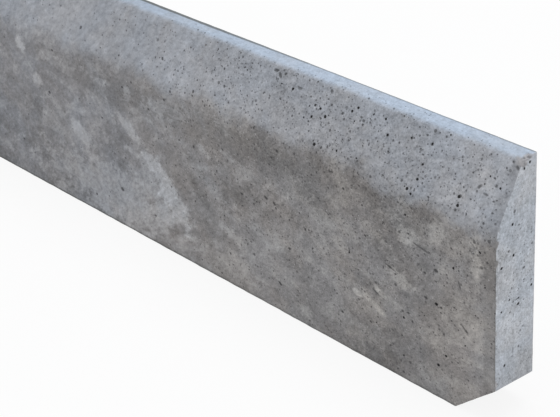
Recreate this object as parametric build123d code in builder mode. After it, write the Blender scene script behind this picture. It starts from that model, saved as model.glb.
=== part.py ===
from build123d import *
import os

os.makedirs("parts", exist_ok=True)

# Concrete edging kerb, standing on its narrow base as it is laid.
# X runs along the kerb, Y through its thickness from the splayed front to the flat
# back, and Z upwards from the ground. The origin is the middle of the base.

# Block, in millimetres
length = 1000.0
height = 250.0
thickness = 50.0

# Splay taken off the upper front, and the narrow flat top it leaves
top_width = 17.0
splay_height = 55.0
top_arris_radius = 7.0
bend_radius = 30.0

# Wear radius of the cast corners that run along the kerb, and of the two ends
long_arris_radius = 2.0
end_arris_radius = 1.5

# Corner missing low on the right-hand end: how far its cut runs along the front of the
# base, and how high it climbs the end at the front and at the back
cut_length = 45.0
cut_front_height = 40.0
cut_back_height = 32.5

# Faces of the block
front = -thickness / 2
back = thickness / 2
right_end = length / 2
bend_level = height - splay_height
top_front = back - top_width


# Kerb stone: one casting, the upright section carried from end to end
with BuildPart() as kerb_stone:
    with BuildSketch(Plane.YZ) as section:
        with BuildLine():
            Polyline(
                (front, 0),
                (back, 0),
                (back, height),
                (top_front, height),
                (front, bend_level),
                close=True,
            )
        make_face()

        # Each corner is found again by its place, since rounding one renews the rest
        def corner(depth, level):
            """The corner of the section nearest to this depth and level."""
            return section.vertices().sort_by_distance((depth, level))[0]

        fillet(corner(front, bend_level), radius=bend_radius)
        fillet(corner(top_front, height), radius=top_arris_radius)
        fillet(corner(back, height), radius=long_arris_radius)
        fillet(corner(front, 0), radius=long_arris_radius)
        fillet(corner(back, 0), radius=long_arris_radius)
    extrude(amount=length / 2, both=True)

    # Ends: the arris all round each one is slightly rounded
    ends = kerb_stone.faces().filter_by(Axis.X)
    fillet(ends.edges(), radius=end_arris_radius)

    # Missing corner: a plane through three points, one on the lower front corner of the
    # block and two on its right-hand end. Everything on its upper side stays.
    cut_start = Vector(right_end - cut_length, front, 0)
    cut_at_front = Vector(right_end, front, cut_front_height)
    cut_at_back = Vector(right_end, back, cut_back_height)
    front_edge = cut_at_front - cut_start
    back_edge = cut_at_back - cut_start
    cut_plane = Plane(origin=cut_start, z_dir=front_edge.cross(back_edge))
    split(bisect_by=cut_plane, keep=Keep.TOP)

kerb_stone.part.label = "kerb_stone"
export_step(kerb_stone.part, "parts/kerb_stone.step")
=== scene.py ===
# %% [markdown]
# An edging kerb of grey precast concrete. It is one casting, so the whole picture rests on
# one surface: a long block with a splayed upper front, worn arrises, air-bubble pores, one
# corner cut away, and a weathered skin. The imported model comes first, as the measure that
# everything after it is held to.

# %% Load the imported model
import math

import bpy
import numpy as np
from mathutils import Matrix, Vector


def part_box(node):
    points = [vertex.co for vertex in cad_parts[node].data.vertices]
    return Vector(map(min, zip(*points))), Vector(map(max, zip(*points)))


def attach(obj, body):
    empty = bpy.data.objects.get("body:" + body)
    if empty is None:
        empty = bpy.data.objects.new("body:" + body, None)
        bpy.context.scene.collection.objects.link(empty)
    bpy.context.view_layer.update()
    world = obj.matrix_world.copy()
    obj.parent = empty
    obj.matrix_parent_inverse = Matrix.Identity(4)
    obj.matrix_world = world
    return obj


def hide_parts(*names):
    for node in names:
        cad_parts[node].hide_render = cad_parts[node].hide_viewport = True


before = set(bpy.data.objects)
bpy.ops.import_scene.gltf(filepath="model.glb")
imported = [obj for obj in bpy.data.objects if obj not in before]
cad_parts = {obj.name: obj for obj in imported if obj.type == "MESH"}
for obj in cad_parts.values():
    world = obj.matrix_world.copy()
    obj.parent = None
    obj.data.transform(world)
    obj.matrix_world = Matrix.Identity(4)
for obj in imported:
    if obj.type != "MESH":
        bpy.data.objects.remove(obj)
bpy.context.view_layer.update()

# %% [markdown]
# The camera is settled before anything is made. The stone was photographed from its front
# right, from above head height of such a low thing, with a long lens. Its place, turn and
# lens were worked out from the straight edges of the stone in the picture: edges that are
# parallel on the stone meet far outside the picture, and those meeting points fix a camera.

# %% Camera
camera_place = (1.13084, -0.80401, 0.83732)
camera_turn = (58.6304, 3.9786, 46.2198)
lens_length = 96.452

camera_data = bpy.data.cameras.new("picture_camera")
camera_data.lens = lens_length
camera_data.sensor_width = 36.0
camera = bpy.data.objects.new("picture_camera", camera_data)
camera.location = camera_place
camera.rotation_euler = [math.radians(angle) for angle in camera_turn]
bpy.context.collection.objects.link(camera)
bpy.context.scene.camera = camera
print("camera at", camera_place, "lens", lens_length)

# %% [markdown]
# The stone's own sizes come next, in metres: X runs along it, Y through it to the flat back,
# and Z up. The front is upright to the bend, then leans back as the splay up to a narrow top.
# The block could be a box with bevels, but a real casting has soft, uneven corners. So the
# block is described by a distance instead: how far a point lies outside each flat face.
# The largest of those distances is the distance to the block, and where two faces meet it
# is eased into an arc.

# %% Sizes of the stone
millimetre = 0.001
low_corner, high_corner = (np.array(corner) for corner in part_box("kerb_stone"))
left_end, front, ground = low_corner
right_end, back, top = high_corner
top_width = 17 * millimetre
splay_height = 55 * millimetre
bend_level = top - splay_height
top_front = back - top_width
splay_depth = top_front - front
cut_along = 45 * millimetre
cut_up_front = 40 * millimetre
cut_up_back = 32.5 * millimetre
print("block", np.round((high_corner - low_corner) / millimetre, 2), "mm")


# %% Distance to the block
def ease(first, second, band):
    """The corner of two faces: the larger distance, but inside the band below both faces
    the length of the two overlaps less the band, which is an arc between them."""
    over_first = np.maximum(first + band, 0)
    over_second = np.maximum(second + band, 0)
    return np.minimum(np.maximum(first, second), -band) + np.hypot(over_first, over_second)


def plane_through(first, second, third):
    """A point on the plane through three points, and its unit normal: the cross product of
    the two edges that leave the first point, over its own length."""
    normal = np.cross(second - first, third - first)
    return first, normal / np.linalg.norm(normal)


cut_low = np.array((right_end - cut_along, front, ground))
cut_front = np.array((right_end, front, ground + cut_up_front))
cut_back = np.array((right_end, back, ground + cut_up_back))
cut_point, cut_normal = plane_through(cut_low, cut_back, cut_front)
splay_length = math.hypot(splay_depth, splay_height)
splay_normal = np.array((0, -splay_height, splay_depth)) / splay_length
splay_point = np.array((0, front, bend_level))
bend_band = 4.0 * millimetre
top_band = 3.2 * millimetre


def outside_block(points, arris, nick, rough_cut):
    """How far each point lies outside the block: the eased corner of all its faces in turn.
    arris is the wear band of the cast corners, nick the wear added on the exposed ones,
    and rough_cut how far the face of the cut corner is sunk at each point."""
    x, y, z = points.T
    splay = (points - splay_point) @ splay_normal
    distance = ease(front - y, splay, bend_band)
    distance = ease(distance, z - top, top_band)
    distance = ease(distance, y - back, arris)
    distance = ease(distance, ground - z, arris)
    distance = ease(distance, x - right_end, arris + nick)
    distance = ease(distance, left_end - x, arris + nick)
    cut = (points - cut_point) @ cut_normal + rough_cut
    return ease(distance, cut, 0.4 * arris)


print("cut face looks along", np.round(cut_normal, 3))

# %% [markdown]
# Nothing on a casting is quite regular, so the shape needs numbers that vary smoothly from
# place to place. A cube of random numbers, looked up at whole steps and blended in between,
# gives them, and adding finer and weaker copies gives the ragged look of stone.


# %% Random grain
cube_side = 64


def grain(points, size, seed, octaves=1):
    """Random heights that vary over this size: at each point the eight nearest numbers of
    a random cube, weighted by smooth steps of the point's place between them. Each further
    octave adds the same at half the size and half the strength."""
    total = np.zeros(len(points))
    strength = 1.0
    for octave in range(octaves):
        dice = np.random.default_rng(seed + octave)
        cube = dice.uniform(-1, 1, (cube_side, cube_side, cube_side))
        place = points / size * 2**octave + dice.uniform(0, cube_side, 3)
        cell = np.floor(place).astype(int)
        part = place - cell
        part = part * part * (3 - 2 * part)
        for step in np.ndindex(2, 2, 2):
            weight = np.prod(np.where(step, part, 1 - part), axis=1)
            i, j, k = ((cell + step) % cube_side).T
            total += strength * weight * cube[i, j, k]
        strength /= 2
    return total


# %% [markdown]
# The surface itself starts as the skin of a box of grid lines. Six flat sheets share their
# border points, so the skin is closed from the start. The lines crowd together at the
# corners, where the arcs and chips need them, and on the right two thirds, where the camera
# looks. The sheets are then leaned onto the section and settled onto the worn block.


# %% Grid lines
def graded(low, high, spacing):
    """Grid lines from low to high that lie spacing(place) apart: the running sum of one over
    the spacing counts the lines, and each whole number of it is where one falls."""
    place = np.linspace(low, high, 20001)
    density = 1 / spacing(place)
    steps = 0.5 * (density[1:] + density[:-1]) * np.diff(place)
    count = np.concatenate([[0], np.cumsum(steps)])
    whole = round(count[-1])
    return np.interp(np.arange(whole + 1) * count[-1] / whole, count, place)


def crowd(place, marks, fine, coarse, growth=0.25):
    """Spacing that is fine at the marks and grows with the distance from them to coarse."""
    nearest = np.min([np.abs(place - mark) for mark in marks], axis=0)
    return np.minimum(fine + growth * nearest, coarse)


view_left = -0.14
fine_gap = 0.45 * millimetre
seen_gap = 1.25 * millimetre
far_gap = 3.0 * millimetre
thick_gap = 2.0 * millimetre


def gap_along(x):
    """Spacing along the stone: close where the camera sees it, wide beyond."""
    coarse = np.where(x > view_left, seen_gap, far_gap)
    return crowd(x, (left_end, right_end), fine_gap, coarse)


lines_along = graded(left_end, right_end, gap_along)
lines_up = graded(ground, top, lambda z: crowd(z, (ground, top), fine_gap, seen_gap))
lines_through = graded(0, 1, lambda t: crowd(t, (0, 1), 0.012, thick_gap / (back - front)))
print("grid lines", len(lines_along), len(lines_through), len(lines_up))


# %% Skin of the block
def skin_of_box(counts):
    """The skin of a box of counts grid points: each of its six sides is a grid of four-sided
    faces over two of the three directions, and the sides share the points of their rims.
    Gives each point's three line numbers, and the faces as rows of four points."""
    faces = []
    for axis in range(3):
        first, second = (axis + 1) % 3, (axis + 2) % 3
        a, b = np.meshgrid(np.arange(counts[first]), np.arange(counts[second]), indexing="ij")
        for level in (0, counts[axis] - 1):
            lines = [None, None, None]
            lines[axis] = np.full_like(a, level)
            lines[first], lines[second] = a, b
            number = np.ravel_multi_index(lines, counts)
            corners = [number[:-1, :-1], number[1:, :-1], number[1:, 1:], number[:-1, 1:]]
            if level == 0:
                corners.reverse()
            faces.append(np.stack([corner.ravel() for corner in corners], axis=1))
    used, faces = np.unique(np.concatenate(faces), return_inverse=True)
    return np.unravel_index(used, counts), faces.reshape(-1, 4)


counts = (len(lines_along), len(lines_through), len(lines_up))
(along, through, up), skin_faces = skin_of_box(counts)
x = lines_along[along]
z = lines_up[up]
lean = np.clip((z - bend_level) / splay_height, 0, 1) * splay_depth
y = front + lean + lines_through[through] * (back - front - lean)
skin = np.stack([x, y, z], axis=1)
print("skin points", len(skin), "faces", len(skin_faces))


# %% Settle the skin on the worn block
def outward(distance, points):
    """The unit direction in which the distance grows: its change over a small step each way
    along the three axes, over the length of that change."""
    step = 0.05 * millimetre
    slopes = [distance(points + move) - distance(points - move) for move in np.eye(3) * step]
    slopes = np.stack(slopes, axis=1)
    return slopes / np.maximum(np.linalg.norm(slopes, axis=1, keepdims=True), 1e-12)


arris_wear = (0.9 + 0.3 * grain(skin, 9 * millimetre, 11, 2)) * millimetre
towards_front = np.clip((back - skin[:, 1]) / (back - front), 0, 1)
nicks = np.clip(grain(skin, 5 * millimetre, 21, 2) - 0.45, 0, 1) * 3.5 * millimetre * towards_front**2
cut_grain = (0.5 + 0.5 * grain(skin, 11 * millimetre, 31, 3)) * millimetre


def to_worn_block(points):
    """Distance to the block as it is worn here."""
    return outside_block(points, arris_wear, nicks, np.abs(cut_grain) * 0.5)


settling_rounds = 4
for _ in range(settling_rounds):
    normals = outward(to_worn_block, skin)
    skin = skin - to_worn_block(skin)[:, None] * normals
normals = outward(to_worn_block, skin)
print("left to settle, mm", float(np.abs(to_worn_block(skin)).max() / millimetre))

# %% Soft waves of the mould
# The long faces are never quite flat: slow waves a palm wide, all sunk below the true face.
slow_waves = 0.22 * (1 + grain(skin, 85 * millimetre, 41))
short_waves = 0.07 * (1 + grain(skin, 14 * millimetre, 42, 2))
skin = skin - (slow_waves + short_waves)[:, None] * millimetre * normals

# %% [markdown]
# The chip where the top, the splay and the end meet, and the larger pores, are real hollows.
# Air bubbles caught against a steel mould leave round pits a few millimetres across, some
# drawn out where the bubble slid. Each pit pushes the points near its centre inwards by the
# height of half an ellipse. How deep a point lies is kept with it, and the finish later
# darkens the pits by that number: painted shade in the hollows.


# %% Places on the faces
def on_front(x_mm, z_mm):
    """A point of the upright front, from millimetres along and up."""
    return np.array((x_mm * millimetre, front, z_mm * millimetre))


def on_splay(x_mm, slant_mm):
    """A point of the splay, from millimetres along and up its slope from the bend."""
    share = slant_mm * millimetre / splay_length
    return np.array((x_mm * millimetre, front + splay_depth * share, bend_level + splay_height * share))


def on_right_end(y_mm, z_mm):
    """A point of the right-hand end, from millimetres across and up."""
    return np.array((right_end, y_mm * millimetre, z_mm * millimetre))


def on_back(x_mm, z_mm):
    """A point of the flat back, from millimetres along and up."""
    return np.array((x_mm * millimetre, back, z_mm * millimetre))


hollow = np.zeros(len(skin))
chipped = np.zeros(len(skin))


def press(centre, radius, depth, stretch=1.0, slope=0.0, share=1.0, mark=hollow):
    """Press a pit into the skin: a point inside the ellipse moves in by depth times the root
    of one less its squared distance from the centre, measured in radii. stretch draws the
    pit out along a line that climbs at this slope, in degrees. The mark keeps this share of
    that root at each point, for the finish. Gives the middle of the hollow."""
    away = np.linalg.norm(skin - centre, axis=1)
    reach = away < radius * stretch * 1.6
    nearest = np.argmin(away)
    face_normal = normals[nearest]
    middle = centre + (skin[nearest] - centre) @ face_normal * face_normal - depth / 2 * face_normal
    side = np.cross((0, 0, 1), face_normal) if abs(face_normal[2]) < 0.9 else np.array((1.0, 0, 0))
    side /= np.linalg.norm(side)
    rise = np.cross(face_normal, side)
    turn = math.radians(slope)
    length = side * math.cos(turn) + rise * math.sin(turn)
    width = rise * math.cos(turn) - side * math.sin(turn)
    offset = skin[reach] - centre
    squared = (offset @ length / (radius * stretch)) ** 2 + (offset @ width / radius) ** 2
    squared += (offset @ face_normal / (radius * 1.6)) ** 2
    sunk = np.sqrt(np.clip(1 - squared, 0, 1))
    skin[reach] -= sunk[:, None] * depth * face_normal
    mark[reach] = np.maximum(mark[reach], sunk * share)
    return middle


# %% Pores that the picture shows one by one
deep_pores = []


def pore(centre, radius, depth, stretch=1.0, slope=0.0, dark=1.0):
    """One pore, its radius and depth in millimetres. The middle and the radius of a round
    dark one are kept too, because no light reaches its bottom."""
    middle = press(centre, radius * millimetre, depth * millimetre, stretch, slope, dark)
    if dark == 1.0 and stretch < 1.5:
        deep_pores.append((middle, radius * millimetre))


# Two drawn-out shallow pores near the right end of the splay, and two round ones by them
pore(on_splay(469, 31), radius=1.5, depth=0.7, stretch=2.4, slope=50, dark=0.7)
pore(on_splay(477, 27), radius=1.5, depth=0.7, stretch=2.2, slope=-10, dark=0.75)
pore(on_splay(453.5, 17), radius=1.5, depth=0.9)
pore(on_splay(455, 10), radius=1.4, depth=0.9)

# Deep round pores low on the splay
pore(on_splay(402, 6), radius=1.5, depth=0.9)
pore(on_splay(407, 3), radius=1.2, depth=0.8)
pore(on_splay(292, 9), radius=1.6, depth=1.0, stretch=1.2, slope=10)
pore(on_splay(294, 35), radius=1.5, depth=1.0)
pore(on_splay(286, 40), radius=1.3, depth=0.9)
pore(on_splay(279, 41), radius=1.1, depth=1.0)
pore(on_splay(326, 53), radius=1.3, depth=1.2)
pore(on_splay(365, 41), radius=1.3, depth=1.1)
pore(on_splay(358, 53), radius=1.3, depth=1.1)
pore(on_splay(488, 36), radius=1.1, depth=1.0)
pore(on_splay(130, 9), radius=1.7, depth=1.2, dark=0.9)
pore(on_splay(167, 25), radius=1.6, depth=1.2, dark=0.9)
pore(on_splay(-52, 23), radius=1.9, depth=1.0, stretch=1.3, slope=50, dark=0.9)

# A torn hollow, made here of four drawn-out pits side by side, and a long shallow pore
pore(on_splay(223, 57), radius=1.6, depth=1.0, stretch=2.4, slope=12, dark=0.9)
pore(on_splay(229, 54), radius=1.6, depth=1.0, stretch=2.2, slope=-50)
pore(on_splay(235, 57), radius=1.2, depth=0.8, stretch=2.2, slope=50, dark=0.9)
pore(on_splay(226, 50), radius=1.2, depth=0.8, stretch=1.6, slope=-70, dark=0.8)
pore(on_splay(256, 50), radius=1.7, depth=0.7, stretch=2.4, slope=0, dark=0.7)

# Pores of the front, most of them on its right-hand part
pore(on_front(435, 100), radius=1.8, depth=1.1, stretch=1.2, slope=30)
pore(on_front(435, 134), radius=1.9, depth=1.1, stretch=1.4, slope=0, dark=0.85)
pore(on_front(436, 36), radius=1.5, depth=1.2, stretch=1.1)
pore(on_front(428, 149), radius=1.1, depth=0.6, stretch=2.0, slope=-12, dark=0.8)
pore(on_front(382, 115), radius=1.2, depth=0.7, stretch=3.2, slope=-18)
pore(on_front(468, 87), radius=1.3, depth=0.7, stretch=2.2, slope=-46, dark=0.85)
pore(on_front(443, 72), radius=1.3, depth=0.9, stretch=1.3, slope=60, dark=0.9)
pore(on_front(445, 50), radius=1.2, depth=0.9)
pore(on_front(227, 125), radius=1.7, depth=0.9, stretch=1.8, slope=-35)
pore(on_front(238, 123), radius=1.5, depth=0.9, stretch=1.6, slope=-35)
pore(on_front(193, 116), radius=1.6, depth=0.9, stretch=1.3, slope=20, dark=0.9)
pore(on_front(254, 80), radius=1.5, depth=0.9, stretch=1.5, slope=10)
pore(on_front(237, 33), radius=1.5, depth=0.9, stretch=2.2, slope=-35)
pore(on_front(317, 186), radius=1.4, depth=1.0, dark=0.9)
pore(on_front(89, 182), radius=1.7, depth=1.0, dark=0.9)
pore(on_front(23, 175), radius=1.7, depth=0.9, dark=0.8)
pore(on_front(-2, 47), radius=2.6, depth=1.2, stretch=1.2, dark=0.9)
pore(on_front(-112, 126), radius=2.2, depth=1.1, dark=0.9)

# A dark hollow beside the chipped top corner
pore(on_splay(491.5, 59), radius=1.5, depth=0.8, stretch=1.6, slope=-50, dark=0.5)
pore(on_splay(496.5, 56), radius=1.8, depth=1.2, stretch=1.5, slope=-35, dark=0.68)

# Small bruises where the top meets the end
pore(np.array((0.4975, 0.0120, top)), radius=1.6, depth=0.6, stretch=1.4, slope=20, dark=0.5)
pore(np.array((0.4990, 0.0165, top)), radius=1.7, depth=0.8, stretch=1.5, slope=60, dark=0.6)

# Fresh chips on the front corner of the end
for level in (186, 168):
    corner = np.array((right_end, front, level * millimetre))
    press(corner, 2.4 * millimetre, 1.3 * millimetre, stretch=1.6, slope=80, mark=chipped)

# Pores of the right-hand end
pore(on_right_end(-4.6, 196), radius=1.3, depth=1.0)
pore(on_right_end(-3, 166), radius=1.3, depth=1.0)
pore(on_right_end(4, 121), radius=1.2, depth=1.0)
pore(on_right_end(4, 115), radius=1.4, depth=1.0)
pore(on_right_end(-8, 125), radius=1.1, depth=0.9)
pore(on_right_end(-18, 161), radius=1.4, depth=1.0)
pore(on_right_end(-18, 118), radius=1.1, depth=0.9)
pore(on_right_end(21, 125), radius=1.2, depth=0.9)
pore(on_right_end(16, 244), radius=1.3, depth=1.0)
pore(on_right_end(9, 241), radius=1.2, depth=0.9)


# %% Pores strewn over every face
def strew(how_many, place, reach_a, reach_b, seed, deep=False):
    """Press pits at random places of one face: their radii crowd towards the small end. The
    deep ones are round, and the finish paints their bottoms black as shade."""
    dice = np.random.default_rng(seed)
    for _ in range(how_many):
        centre = place(dice.uniform(*reach_a), dice.uniform(*reach_b))
        radius = (0.75 + 0.7 * dice.uniform() ** 3) * millimetre
        stretch = 1 + 0.8 * dice.uniform() ** 3
        turn = dice.uniform(-90, 90)
        if deep:
            deep_pores.append((press(centre, radius, radius * 0.9), radius))
        else:
            press(centre, radius, radius * 0.75, stretch, turn)


strew(75, on_splay, (100, 492), (3, 60), 51)
strew(30, on_splay, (-490, 100), (3, 60), 52)
strew(90, on_front, (150, 490), (12, 190), 53)
strew(60, on_front, (-490, 150), (12, 190), 54)
strew(22, on_right_end, (-22, 22), (45, 190), 55)
strew(110, on_back, (-490, 490), (8, 242), 56)
strew(22, on_splay, (230, 492), (3, 60), 57, deep=True)
strew(16, on_front, (290, 490), (25, 185), 58, deep=True)
strew(2, on_right_end, (-20, 20), (60, 220), 59, deep=True)
print("points in pits", int((hollow > 0).sum()))

# %% Chip at the top of the right-hand end
chip_centre = np.array((right_end, top_front, top)) + np.array((1.5, 1.5, -0.5)) * millimetre
chip_reach = np.array((9.5, 10.0, 7.0)) * millimetre
offset = (skin - chip_centre) / chip_reach
bite = 1 - np.linalg.norm(offset, axis=1) + 0.28 * grain(skin, 4 * millimetre, 61, 3)
inward = np.array((-0.62, 0.15, -0.77))
depth = np.clip(bite, 0, 0.55) * 5.2 * millimetre
skin += depth[:, None] * inward
chipped = np.maximum(chipped, np.clip(bite * 4, 0, 1))
to_arris = np.hypot(right_end - skin[:, 0], skin[:, 1] - front)
near_arris = np.clip(1.6 - to_arris / (3 * millimetre), 0, 1)
chipped = np.maximum(chipped, np.clip(nicks / (0.5 * millimetre), 0, 1) * near_arris)
print("chip depth, mm", float(depth.max() / millimetre))

# %% [markdown]
# The skin now holds several hundred thousand triangles, most of them on flat concrete that
# doesn't need them. The Decimate modifier merges points where the surface is nearly flat and
# leaves the pits, chips and corners alone. The result is made the mesh itself, so nothing
# stays live on the finished piece.

# %% Make the kerb
kerb_mesh = bpy.data.meshes.new("kerb")
kerb_mesh.vertices.add(len(skin))
kerb_mesh.vertices.foreach_set("co", skin.ravel())
kerb_mesh.loops.add(skin_faces.size)
kerb_mesh.loops.foreach_set("vertex_index", skin_faces.ravel())
kerb_mesh.polygons.add(len(skin_faces))
kerb_mesh.polygons.foreach_set("loop_start", np.arange(0, skin_faces.size, 4))
for name, numbers in (("hollow", hollow), ("chipped", chipped)):
    attribute = kerb_mesh.attributes.new(name, "FLOAT", "POINT")
    attribute.data.foreach_set("value", numbers.astype(np.float32))
kerb_mesh.update(calc_edges=True)
kerb_mesh.validate()
kerb = bpy.data.objects.new("kerb", kerb_mesh)
bpy.context.collection.objects.link(kerb)

most_triangles = 190_000
thin = kerb.modifiers.new("thin_flat_parts", "DECIMATE")
thin.ratio = most_triangles / (2 * len(skin_faces))
thin.use_collapse_triangulate = True
dressed = kerb.evaluated_get(bpy.context.evaluated_depsgraph_get())
thinned_mesh = bpy.data.meshes.new_from_object(dressed)
kerb.modifiers.clear()
kerb.data = thinned_mesh
bpy.data.meshes.remove(kerb_mesh)
thinned_mesh.name = "kerb"
thinned_mesh.polygons.foreach_set("use_smooth", np.ones(len(thinned_mesh.polygons), bool))
print("kerb triangles", len(thinned_mesh.polygons))

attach(kerb, "root")
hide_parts("kerb_stone")

# %% [markdown]
# A finish is a small program of nodes. To keep it readable, a Wire wraps one socket and
# takes part in sums: mask * 0.5 or 1 - mask adds the Math node that works it out. A Finish
# is the material, and its one method node() adds any other kind of node.


# %% Wires and finishes
class Wire:
    """A value that flows through the finish: sums on it add the Math nodes they name."""

    def __init__(self, finish, socket):
        self.finish = finish
        self.socket = socket

    def math(self, operation, *values):
        """One Math node of this operation on the values."""
        settings = {"operation": operation}
        return self.finish.node("ShaderNodeMath", settings, dict(enumerate(values)))

    def __add__(self, other):
        return self.math("ADD", self, other)

    def __radd__(self, other):
        return self.math("ADD", other, self)

    def __sub__(self, other):
        return self.math("SUBTRACT", self, other)

    def __rsub__(self, other):
        return self.math("SUBTRACT", other, self)

    def __mul__(self, other):
        return self.math("MULTIPLY", self, other)

    def __rmul__(self, other):
        return self.math("MULTIPLY", other, self)

    def __truediv__(self, other):
        return self.math("DIVIDE", self, other)

    def size(self):
        """The value without its sign."""
        return self.math("ABSOLUTE", self)

    def root(self):
        """The square root of the value."""
        return self.math("SQRT", self)

    def either(self, other):
        """The larger of two values."""
        return self.math("MAXIMUM", self, other)

    def climb(self, low, high):
        """0 at low, 1 at high, and a smooth step between; low may be the larger."""
        settings = {"interpolation_type": "SMOOTHSTEP"}
        inputs = {"Value": self, "From Min": low, "From Max": high}
        return self.finish.node("ShaderNodeMapRange", settings, inputs)

    def output(self, name):
        """Another output of the node that this value comes from."""
        return Wire(self.finish, self.socket.node.outputs[name])


class Finish:
    """A material, with one method that adds any node and gives back one output of it."""

    def __init__(self, name):
        self.material = bpy.data.materials.new(name)
        self.material.use_nodes = True
        self.tree = self.material.node_tree
        self.tree.nodes.clear()
        self.place = self.node("ShaderNodeTexCoord", {}, {}, "Object")
        self.x = self.node("ShaderNodeSeparateXYZ", {}, {0: self.place}, "X")
        self.y = self.x.output("Y")
        self.z = self.x.output("Z")

    def node(self, kind, settings, inputs, output=0):
        """Add a node, set it up, fill its sockets with values or wires, and give back
        the output asked for."""
        made = self.tree.nodes.new(kind)
        for name, setting in settings.items():
            setattr(made, name, setting)
        for name, value in inputs.items():
            if isinstance(value, Wire):
                self.tree.links.new(value.socket, made.inputs[name])
            else:
                made.inputs[name].default_value = value
        return Wire(self, made.outputs[output]) if made.outputs else None

    def clouds(self, size, detail=3.0, rough=0.5, place=None, bend=0.0):
        """Soft random patches of this size in metres, about 0.5."""
        inputs = {"Vector": place or self.place, "Scale": 1 / size, "Detail": detail}
        inputs |= {"Roughness": rough, "Distortion": bend}
        return self.node("ShaderNodeTexNoise", {}, inputs, "Fac")

    def blend(self, share, under, over, way="MIX"):
        """Lay one colour over another by this share."""
        settings = {"data_type": "RGBA", "blend_type": way}
        return self.node("ShaderNodeMix", settings, {0: share, 6: under, 7: over}, 2)

    def shade(self, colour, tone):
        """The colour times a tone, where 1 leaves it alone."""
        grey = self.node("ShaderNodeCombineXYZ", {}, {0: tone, 1: tone, 2: tone})
        return self.blend(1.0, colour, grey, "MULTIPLY")

    def along_slope(self, slope, stretch):
        """The place on the stone, turned so that a pattern on it runs down to the right at
        this slope in degrees, and drawn out along it."""
        inputs = {"Vector": self.place, "Rotation": (0, math.radians(slope), 0)}
        inputs["Scale"] = (stretch, 1, 1)
        return self.node("ShaderNodeMapping", {"vector_type": "TEXTURE"}, inputs)

    def number(self, name):
        """A number that the mesh keeps at each of its points."""
        return self.node("ShaderNodeAttribute", {"attribute_name": name}, {}, "Fac")

    def done(self, surface):
        """Send the surface to the material's output, and give back the material."""
        self.node("ShaderNodeOutputMaterial", {}, {"Surface": surface})
        return self.material


# %% [markdown]
# The concrete is painted the way it weathers, with painted shade added. The faces differ first:
# the trowelled top is pale and clean, the splay a cool mid grey, the front brown from splashing,
# the end pale again. Then come clouds of cement film, a few larger stains where the picture has
# them, pinholes and pits darkened as painted shade, painted shade along edges, and grime. Each layer is
# a mask from 0 to 1.


# %% Dots and the bottoms of pores
def dots(finish, spacing, widest, density, shift):
    """Round dots at the points of a cell pattern of this spacing. Each cell's own random
    numbers say whether it has a dot, which is more likely where density is high, how wide
    the dot is, and how strong. A dot is full inside its radius, with a soft rim."""
    moved = finish.node("ShaderNodeVectorMath", {}, {0: finish.place, 1: (shift, 0, 0)})
    inputs = {"Vector": moved, "Scale": 1 / spacing, "Randomness": 1.0}
    cells = finish.node("ShaderNodeTexVoronoi", {}, inputs, "Distance")
    away = cells * spacing
    dice = finish.node("ShaderNodeSeparateColor", {}, {0: cells.output("Color")}, "Red")
    radius = (dice * dice * 0.65 + 0.35) * widest
    strength = dice.output("Green") * 0.5 + 0.5
    there = (density - dice.output("Blue")).climb(0.0, 0.06)
    return (away / radius).climb(1.15, 0.6) * strength * there


def pore_bottoms(finish):
    """Painted shade at the bottoms of the deep pores: full within four fifths of a pore's
    radius from its middle, and fading out beyond."""
    total = None
    for middle, radius in deep_pores:
        inputs = {0: finish.place, 1: tuple(middle)}
        away = finish.node("ShaderNodeVectorMath", {"operation": "DISTANCE"}, inputs, "Value")
        bottom = away.climb(radius * 1.10, radius * 0.80)
        total = total.either(bottom) if total else bottom
    return total


# %% Stains at set places
def away_from(finish, along, up, length, width, slope):
    """How far a place on the stone's side is from an ellipse's centre, in half lengths and
    half widths of it: the root of the two squared shares. The centre and the halves are in
    millimetres, and the slope of its long axis is in degrees."""
    turn = math.radians(slope)
    right = finish.x - along * millimetre
    rise = finish.z - up * millimetre
    cos_along = math.cos(turn) / (length * millimetre)
    sin_along = math.sin(turn) / (length * millimetre)
    cos_across = math.cos(turn) / (width * millimetre)
    sin_across = math.sin(turn) / (width * millimetre)
    far_along = right * cos_along + rise * sin_along
    far_across = rise * cos_across - right * sin_across
    return (far_along * far_along + far_across * far_across).root()


def stains(finish, wisps, patches):
    """The strongest of several ragged stains at each place: the wisps less the distance
    from each centre, cut off softly, which leaves torn edges and gaps."""
    total = None
    for patch in patches:
        share = patch["share"]
        away = away_from(finish, *[patch[key] for key in ("along", "up", "length", "width", "slope")])
        mark = (wisps - away).climb(-0.40, 0.32) * share
        total = total.either(mark) if total else mark
    return total


def crisp_marks(finish, marks):
    """Small crisp marks, full where the distance from the centre is well under 1."""
    total = None
    for mark in marks:
        crisp = away_from(finish, **mark).climb(1.25, 0.55)
        total = total.either(crisp) if total else crisp
    return total


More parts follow.
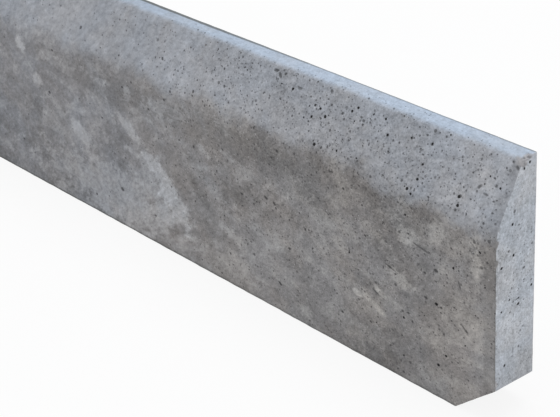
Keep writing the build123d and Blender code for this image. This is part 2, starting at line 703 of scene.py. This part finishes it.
# %% Where the front is pale and where it is dark
# Places and half sizes are in millimetres along and up the stone, and slopes are in degrees.
pale_patches = [
    dict(along=76, up=74, length=58, width=19, slope=-52, share=0.95),
    dict(along=64, up=42, length=48, width=20, slope=8, share=0.7),
    dict(along=48, up=78, length=40, width=15, slope=100, share=0.5),
    dict(along=28, up=127, length=26, width=9, slope=-36, share=0.7),
    dict(along=-62, up=95, length=32, width=12, slope=-28, share=0.65),
    dict(along=-100, up=112, length=28, width=8, slope=-38, share=0.45),
    dict(along=-30, up=36, length=150, width=44, slope=3, share=0.6),
    dict(along=165, up=26, length=62, width=20, slope=0, share=0.42),
    dict(along=330, up=28, length=60, width=16, slope=0, share=0.3),
    dict(along=450, up=22, length=50, width=14, slope=0, share=0.35),
    dict(along=-153, up=173, length=14, width=11, slope=60, share=0.8),
    dict(along=-131, up=133, length=12, width=9, slope=60, share=0.6),
    dict(along=30, up=170, length=11, width=8, slope=60, share=0.5),
    dict(along=437, up=172, length=15, width=12, slope=80, share=0.7),
    dict(along=402, up=158, length=18, width=13, slope=-15, share=0.8),
    dict(along=455, up=168, length=60, width=16, slope=0, share=0.3),
    dict(along=395, up=107, length=20, width=9, slope=-25, share=0.7),
    dict(along=368, up=142, length=24, width=8, slope=-25, share=0.4),
    dict(along=322, up=114, length=16, width=10, slope=-20, share=0.45),
    dict(along=478, up=164, length=30, width=8, slope=90, share=0.8),
    dict(along=142, up=145, length=16, width=6, slope=-30, share=0.5),
    dict(along=200, up=140, length=18, width=8, slope=-25, share=0.5),
    dict(along=175, up=60, length=30, width=8, slope=-20, share=0.45),
]
dark_patches = [
    dict(along=230, up=174, length=125, width=18, slope=-3, share=0.52),
    dict(along=20, up=168, length=260, width=20, slope=-1, share=0.40),
    dict(along=292, up=150, length=30, width=14, slope=-15, share=0.6),
    dict(along=256, up=66, length=24, width=12, slope=-20, share=0.4),
    dict(along=130, up=92, length=34, width=10, slope=-50, share=0.55),
    dict(along=128, up=122, length=24, width=8, slope=-40, share=0.45),
    dict(along=400, up=34, length=85, width=34, slope=5, share=0.34),
    dict(along=440, up=100, length=52, width=30, slope=0, share=0.34),
    dict(along=-20, up=158, length=70, width=14, slope=-8, share=0.45),
    dict(along=-30, up=72, length=26, width=10, slope=-30, share=0.4),
    dict(along=-140, up=72, length=14, width=9, slope=90, share=0.55),
    dict(along=-125, up=102, length=62, width=26, slope=0, share=0.28),
    dict(along=258, up=26, length=60, width=22, slope=0, share=0.4),
    dict(along=354, up=78, length=36, width=20, slope=-15, share=0.4),
    dict(along=417, up=166, length=8, width=5, slope=0, share=0.7),
    dict(along=422, up=134, length=9, width=6, slope=20, share=0.6),
    dict(along=454, up=78, length=10, width=7, slope=0, share=0.5),
]

# Scratches of the mould, darkened as painted shade, and crisp flecks of cement
thin_scores = [
    dict(along=420, up=150, length=11, width=1.0, slope=-12),
    dict(along=383, up=115, length=8, width=1.1, slope=-18),
    dict(along=466, up=89, length=7, width=1.0, slope=-46),
    dict(along=461, up=131, length=5, width=0.9, slope=-70),
    dict(along=364, up=81, length=5, width=1.0, slope=-25),
]

pale_flecks = [
    dict(along=341, up=70, length=7.5, width=4.5, slope=-10),
    dict(along=353, up=71, length=7.0, width=4.5, slope=-20),
    dict(along=370, up=83, length=10.0, width=4.0, slope=-30),
    dict(along=366, up=64, length=11.0, width=4.5, slope=-30),
]

# %% Colours of the concrete
top_grey = (0.395, 0.455, 0.54, 1)
splay_grey = (0.352, 0.365, 0.396, 1)
front_cool = (0.270, 0.271, 0.286, 1)
front_brown = (0.268, 0.256, 0.253, 1)
end_grey = (0.465, 0.486, 0.522, 1)
back_grey = (0.31, 0.315, 0.325, 1)
film_cool = (0.465, 0.467, 0.484, 1)
film_warm = (0.440, 0.422, 0.405, 1)
damp_brown = (0.150, 0.143, 0.138, 1)
damp_blue = (0.15, 0.155, 0.165, 1)
# Dark for painted shade in holes, pits and scores, and for the mould seam.
hole_shade_and_seam_dark = (0.045, 0.045, 0.045, 1)
# Black for painted shade at the bottoms of the deep pores.
pore_bottom_shade_black = (0.015, 0.015, 0.015, 1)
grain_pale = (0.62, 0.62, 0.63, 1)
# Olive for painted shade along edges and the foot, and for grime at the front corner of the end.
edge_shade_and_grime_olive = (0.10, 0.105, 0.098, 1)
chip_warm = (0.40, 0.385, 0.39, 1)
rust_brown = (0.16, 0.125, 0.10, 1)
cool_tint = (0.982, 1.0, 1.022, 1)
warm_tint = (1.022, 1.0, 0.98, 1)


# %% [markdown]
# Each layer of the finish asks the same two questions: which face is this, and what does the
# random pattern say here? Both are answered once and shared, so that the layers agree: a pale
# cloud is pale in the film, in the mottle and in the ragged edge of the grime.


# %% Random patterns that the layers share
class Noises:
    """The random patterns, from drifts a palm wide to fine sand, each about 0.5, and how
    coarse the surface is along the stone, from 0 to 1. On the front the middle sizes are
    drawn out up to the right, as trowel and rain have left them."""

    def __init__(self, finish):
        slanted = finish.along_slope(-40, 1.5)
        self.broad = finish.clouds(150 * millimetre, 3.0, 0.55)
        self.hue = (finish.clouds(90 * millimetre, 3.0, 0.5) - 0.5) * 0.3
        self.streaks = finish.clouds(30 * millimetre, 7.0, 0.70, finish.along_slope(5, 1.8), 0.7)
        self.patches = finish.clouds(12.5 * millimetre, 5.0, 0.70, slanted)
        self.wobble = finish.clouds(12 * millimetre, 4.0, 0.6)
        self.pebbles = finish.clouds(7 * millimetre, 3.0, 0.6, slanted)
        self.sand = finish.clouds(3.6 * millimetre, 3.0, 0.7, slanted)
        self.fine = finish.clouds(1.9 * millimetre, 2.0, 0.7)
        self.ragged = (self.patches - 0.5) * (2.2 * millimetre)
        self.coarse = finish.x.climb(-0.05, 0.28) * 0.86 + 0.14


# %% Masks of the faces
class Faces:
    """Where each face is, from 0 to 1: right and left at the ends, behind on the back, on_top,
    and below_bend. The borders are shifted by the wobble, so that none is a ruled line, and
    the bend's border creeps far up and down. on_side is what is neither top nor end, and
    facing is the upright front."""

    def __init__(self, finish, wobble):
        x, y, z = finish.x, finish.y, finish.z
        shift = (wobble - 0.5) * (1.4 * millimetre)
        outer, inner = 1.2 * millimetre, 0.6 * millimetre
        self.right = (x + shift).climb(right_end - outer, right_end - inner)
        self.left = (x + shift).climb(left_end + outer, left_end + inner)
        self.behind = (y + shift).climb(back - outer, back - inner)
        slant = y + (z - top) + shift * 3
        self.on_top = slant.climb(top_front - 5.2 * millimetre, top_front + 4.2 * millimetre)
        creep = (finish.clouds(45 * millimetre, 4.0, 0.6) - 0.5) * (50 * millimetre)
        drop = x.climb(0.430, 0.485) * (10 * millimetre)
        half_border = 10 * millimetre
        level = z + creep + drop
        self.below_bend = level.climb(bend_level + half_border, bend_level - half_border)
        self.at_end = self.right.either(self.left)
        self.on_side = (1 - self.at_end) * (1 - self.on_top)
        self.facing = self.on_side * self.below_bend * y.climb(0.0, -4 * millimetre)


# %% Clean concrete
def clean_colour(finish, faces, noise):
    """The dry concrete before weather: each face has its own grey. The front turns from cool
    to brown along the stone, and the splay and the top change a little in tone. The end is
    darker towards its foot, as painted shade."""
    x, z = finish.x, finish.z
    front_colour = finish.blend((x + noise.hue).climb(-0.06, 0.14), front_cool, front_brown)
    splay_tone = 1 - x.climb(-0.04, -0.16) * 0.11
    colour = finish.blend(faces.below_bend, finish.shade(splay_grey, splay_tone), front_colour)
    top_tone = x.climb(-0.25, 0.36) * 0.2 + 0.87
    top_tone = top_tone - x.climb(0.38, 0.47) * 0.1 - x.climb(0.10, -0.05) * 0.05
    colour = finish.blend(faces.on_top, colour, finish.shade(top_grey, top_tone))
    colour = finish.blend(faces.behind, colour, back_grey)
    # Painted shade: the end darkens towards its foot.
    end_tone = 1.02 - z.climb(0.12, 0.04) * 0.17
    return finish.blend(faces.at_end, colour, finish.shade(end_grey, end_tone))


# %% Film and damp
def weathered(finish, faces, noise, colour):
    """Damp, and over it cement film, on the sides and most of all below the bend: thin clouds
    everywhere, and the larger stains at their places on the front."""
    streaks, patches = noise.streaks, noise.patches
    wisps = (patches - 0.5) * 2.6 + (streaks - 0.5) * 1.6 + 0.75
    damp = streaks.climb(0.48, 0.34) * 0.34 + noise.broad.climb(0.50, 0.36) * 0.25
    damp = damp.either(stains(finish, wisps, dark_patches) * faces.facing)
    film = streaks.climb(0.48, 0.62) * 0.38 + patches.climb(0.52, 0.66) * 0.22
    film = film.either(stains(finish, wisps, pale_patches) * faces.facing)
    flecks = crisp_marks(finish, pale_flecks) * (patches * 0.8 + 0.5)
    film = film.either(flecks * faces.facing)
    cover = (faces.below_bend * 0.7 + 0.3) * faces.on_side
    colour = finish.blend(damp * cover, colour, damp_brown)
    warmth = (finish.x + noise.hue).climb(0.05, 0.30)
    return finish.blend(film * cover, colour, finish.blend(warmth, film_cool, film_warm))


# %% Sand and cement
def mottle(faces, noise):
    """The tone of the grains, about 1: the sum of five sizes of pattern, each about 0 and with
    its own strength. It is calmer on the top and a little calmer on the splay."""
    drifts = (noise.broad - 0.5) * (faces.below_bend * 0.35 + 0.5)
    stones = (noise.patches - 0.5) * 0.7 + (noise.pebbles - 0.5) * 0.65 + (noise.sand - 0.5)
    specks = (noise.fine - 0.5) * (noise.coarse * 0.9 + 0.2)
    lively = (1 - faces.on_top * 0.35) * (faces.below_bend * 0.15 + 0.85)
    return (stones + drifts + specks) * lively + 1.0


def tinted(finish, colour):
    """The colour with a slight drift between cool and warm."""
    drift = finish.clouds(55 * millimetre, 4.0, 0.6).climb(0.36, 0.64)
    return finish.blend(1.0, colour, finish.blend(drift, cool_tint, warm_tint), "MULTIPLY")


# %% Pinholes and pale grains
def air_holes(finish, faces, noise):
    """Holes darkened as painted shade, and pale grains, thickest high on the right-hand part:
    pinholes of four sizes, the pits pressed into the mesh, and the thin scores."""
    high = finish.z.climb(0.03, 0.17) * 0.5 + 0.5
    crowded = finish.clouds(28 * millimetre, 3.0, 0.6).climb(0.35, 0.62) * 0.5 + 0.5
    bare_top = 1 - faces.on_top * 0.8
    density = noise.coarse * high.either(faces.at_end * 0.8) * crowded * bare_top
    scarce = density * (1 - faces.at_end * 0.65)
    tiny = dots(finish, 2.0 * millimetre, 0.45 * millimetre, density, 0.0) * 0.5
    small = dots(finish, 2.8 * millimetre, 0.85 * millimetre, density, 3.0)
    middle = dots(finish, 3.6 * millimetre, 1.30 * millimetre, scarce * 1.2, 7.0)
    wide = dots(finish, 7.4 * millimetre, 1.80 * millimetre, scarce * 0.7, 11.0)
    holes = tiny.either(small * (0.8 - faces.at_end * 0.15)).either(middle).either(wide)
    # Pits are darkened by their depth: painted shade.
    pits = finish.number("hollow").climb(0.10, 0.70)
    scores = crisp_marks(finish, thin_scores) * faces.facing
    holes = holes.either(pits * 0.9).either(scores * 0.75)
    grains = dots(finish, 4.0 * millimetre, 0.85 * millimetre, density * 0.9, 17.0) * 0.5
    return holes, grains


# %% Mould seam
def seam_line(finish, faces):
    """The faint line of the mould up the right-hand end: thin, a little bent, broken into
    dashes, and gone near the top and the foot."""
    seam_depth = -2.7 * millimetre
    bend = (finish.clouds(50 * millimetre, 2.0, 0.5) - 0.5) * (1.2 * millimetre)
    dashes = finish.clouds(4.5 * millimetre, 2.0, 0.6).climb(0.48, 0.60) * 0.8 + 0.1
    away = (finish.y - seam_depth + bend).size()
    line = away.climb(1.0 * millimetre, 0.2 * millimetre) * dashes
    stretch = finish.z.climb(0.190, 0.120) * finish.z.climb(0.035, 0.06)
    return line * faces.right * stretch * 0.55


# %% Painted edge shade and grime
def paint_edge_shade_and_grime(finish, faces, noise, colour):
    """Painted shade along the top back arris, along the foot and at the back corner of the
    right-hand end, and grime at its front corner, all over two strips beside the end that are
    worn dark: brown below the bend and blue above it."""
    x, y, z, ragged = finish.x, finish.y, finish.z, noise.ragged
    leftward = x.climb(0.32, 0.06)
    rim = y + ragged + leftward * (2.2 * millimetre)
    rim = rim.climb(back - 2.8 * millimetre, back - 1.6 * millimetre)
    rim = rim * z.climb(top - 6 * millimetre, top - 2 * millimetre)
    rim = rim * (leftward * 0.35 + 0.5) * (1 - faces.at_end)
    foot = (z + ragged).climb(ground + 4 * millimetre, ground + 1.2 * millimetre)
    foot = foot * (x.climb(0.22, 0.0) * 0.25 + 0.5)
    hind = (y + ragged * 0.4).climb(back - 1.6 * millimetre, back - 0.6 * millimetre)
    nose = (x + ragged * 2.5).climb(right_end - 3.2 * millimetre, right_end - 1 * millimetre)
    # The rim, the foot and the back corner of the end are painted shade; the front corner of the end is
    # grime.
    edge_shade_and_grime = rim.either(foot).either(hind * faces.right * 0.45)
    edge_shade_and_grime = edge_shade_and_grime.either(nose * faces.facing * 0.35)

    inland = x + ragged * 2
    worn = inland.climb(right_end - 16.5 * millimetre, right_end - 10.5 * millimetre)
    margin = inland.climb(right_end - 15 * millimetre, right_end - 5 * millimetre)
    margin = margin * faces.on_side * (1 - faces.below_bend) * (1 - faces.behind)
    colour = finish.blend(worn * faces.facing * 0.30, colour, damp_brown)
    colour = finish.blend(margin * 0.3, colour, damp_blue)
    return finish.blend(edge_shade_and_grime, colour, edge_shade_and_grime_olive)


# %% Concrete
def concrete():
    """The whole skin of the kerb as one finish: the clean colour, then layer over layer."""
    finish = Finish("concrete")
    x, z = finish.x, finish.z
    noise = Noises(finish)
    faces = Faces(finish, noise.wobble)
    tone = mottle(faces, noise)
    holes, grains = air_holes(finish, faces, noise)
    seam = seam_line(finish, faces)
    chips = finish.number("chipped")
    near_top = (z + noise.ragged * 3).climb(top - 18 * millimetre, top - 8 * millimetre)
    rusty = x.climb(0.17, 0.10) * near_top * faces.on_side * 0.7

    colour = clean_colour(finish, faces, noise)
    colour = weathered(finish, faces, noise, colour)
    colour = tinted(finish, finish.shade(colour, tone))
    colour = finish.blend(chips * 0.85, colour, finish.shade(chip_warm, tone))
    # Painted shade along the edges and the foot, and grime at the end's front corner.
    colour = paint_edge_shade_and_grime(finish, faces, noise, colour)
    colour = finish.blend(seam, colour, hole_shade_and_seam_dark)
    colour = finish.blend(grains, colour, grain_pale)
    # Holes, pits and scores darkened as painted shade, rust brown in the holes near the top except on
    # the right-hand part.
    colour = finish.blend(holes * 0.82, colour, finish.blend(rusty, hole_shade_and_seam_dark, rust_brown))
    # Painted shade: the bottoms of the deep pores are black.
    colour = finish.blend(pore_bottoms(finish) * 0.95, colour, pore_bottom_shade_black)

    relief = (noise.wobble - 0.5) * (0.35 * millimetre)
    relief = relief + (noise.sand - 0.5) * (0.22 * millimetre)
    relief = relief + (noise.fine - 0.5) * (0.14 * millimetre)
    relief = relief - holes * (0.6 * millimetre) - seam * (0.3 * millimetre)
    relief = relief + chips * (noise.patches - 0.5) * (2 * millimetre)
    bumped = finish.node("ShaderNodeBump", {}, {"Distance": 1.0, "Height": relief}, "Normal")
    roughness = (noise.streaks - 0.5) * 0.25 + 0.84 - faces.on_top * 0.1 + holes * 0.1
    inputs = {"Base Color": colour, "Roughness": roughness, "Normal": bumped}
    inputs["Specular IOR Level"] = 0.4
    return finish.done(finish.node("ShaderNodeBsdfPrincipled", {}, inputs, "BSDF"))


kerb.data.materials.clear()
kerb.data.materials.append(concrete())
print("concrete nodes", len(kerb.data.materials[0].node_tree.nodes))

# %% [markdown]
# The floor is plain and pale. The picture has pure white round the stone, so the camera sees
# the floor lightened to white by Light Path, while the soft shadow under the stone stays.


# %% Floor
floor_grey = (0.86, 0.86, 0.86, 1)
glow_share = 0.88


def floor_finish():
    """White floor: diffuse for the light, and mixed with a plain glow for the camera and in
    mirror images."""
    finish = Finish("pale_floor")
    plain = finish.node("ShaderNodeBsdfDiffuse", {}, {"Color": floor_grey}, "BSDF")
    inputs = {"Color": (1, 1, 1, 1), "Strength": 1.0}
    glow = finish.node("ShaderNodeEmission", {}, inputs, "Emission")
    seen = finish.node("ShaderNodeLightPath", {}, {}, "Is Camera Ray")
    seen = seen.either(seen.output("Is Glossy Ray")).either(seen.output("Is Transmission Ray"))
    mixed = finish.node("ShaderNodeMixShader", {}, {0: seen * glow_share, 1: plain, 2: glow}, "Shader")
    return finish.done(mixed)


floor_reach = 30.0
floor_mesh = bpy.data.meshes.new("floor")
floor_corners = [
    (-floor_reach, -floor_reach, 0),
    (floor_reach, -floor_reach, 0),
    (floor_reach, floor_reach, 0),
    (-floor_reach, floor_reach, 0),
]
floor_mesh.from_pydata(floor_corners, [], [(0, 1, 2, 3)])
floor = bpy.data.objects.new("floor", floor_mesh)
floor_mesh.materials.append(floor_finish())
bpy.context.collection.objects.link(floor)

# %% [markdown]
# Soft studio light: an even white world, a wide lamp overhead that makes the top the
# brightest face, and a second one off the right-hand end. Both are large, so no shadow has
# a hard edge.

# %% Light
world = bpy.data.worlds.new("studio")
world.use_nodes = True
bpy.context.scene.world = world
sky = world.node_tree.nodes["Background"]
sky.inputs["Color"].default_value = (0.96, 0.98, 1.0, 1)
sky.inputs["Strength"].default_value = 0.66


def lamp(name, place, aim, width, power, colour):
    """A square area lamp at this place, turned to face the aim."""
    data = bpy.data.lights.new(name, "AREA")
    data.size = width
    data.energy = power
    data.color = colour
    made = bpy.data.objects.new(name, data)
    direction = np.array(aim) - np.array(place)
    direction /= np.linalg.norm(direction)
    made.location = place
    made.rotation_euler = (
        math.acos(-direction[2]),
        0,
        math.atan2(direction[0], -direction[1]) if abs(direction[2]) < 0.999 else 0,
    )
    bpy.context.collection.objects.link(made)


lamp("overhead", (0.3, 0.3, 3.2), (0.1, 0, 0), 2.4, 50, (1, 1, 1))
lamp("right_side", (3.2, 0.0, 1.2), (0.3, 0, 0.1), 1.6, 108, (1, 0.99, 0.98))

bpy.context.scene.view_settings.view_transform = "Standard"
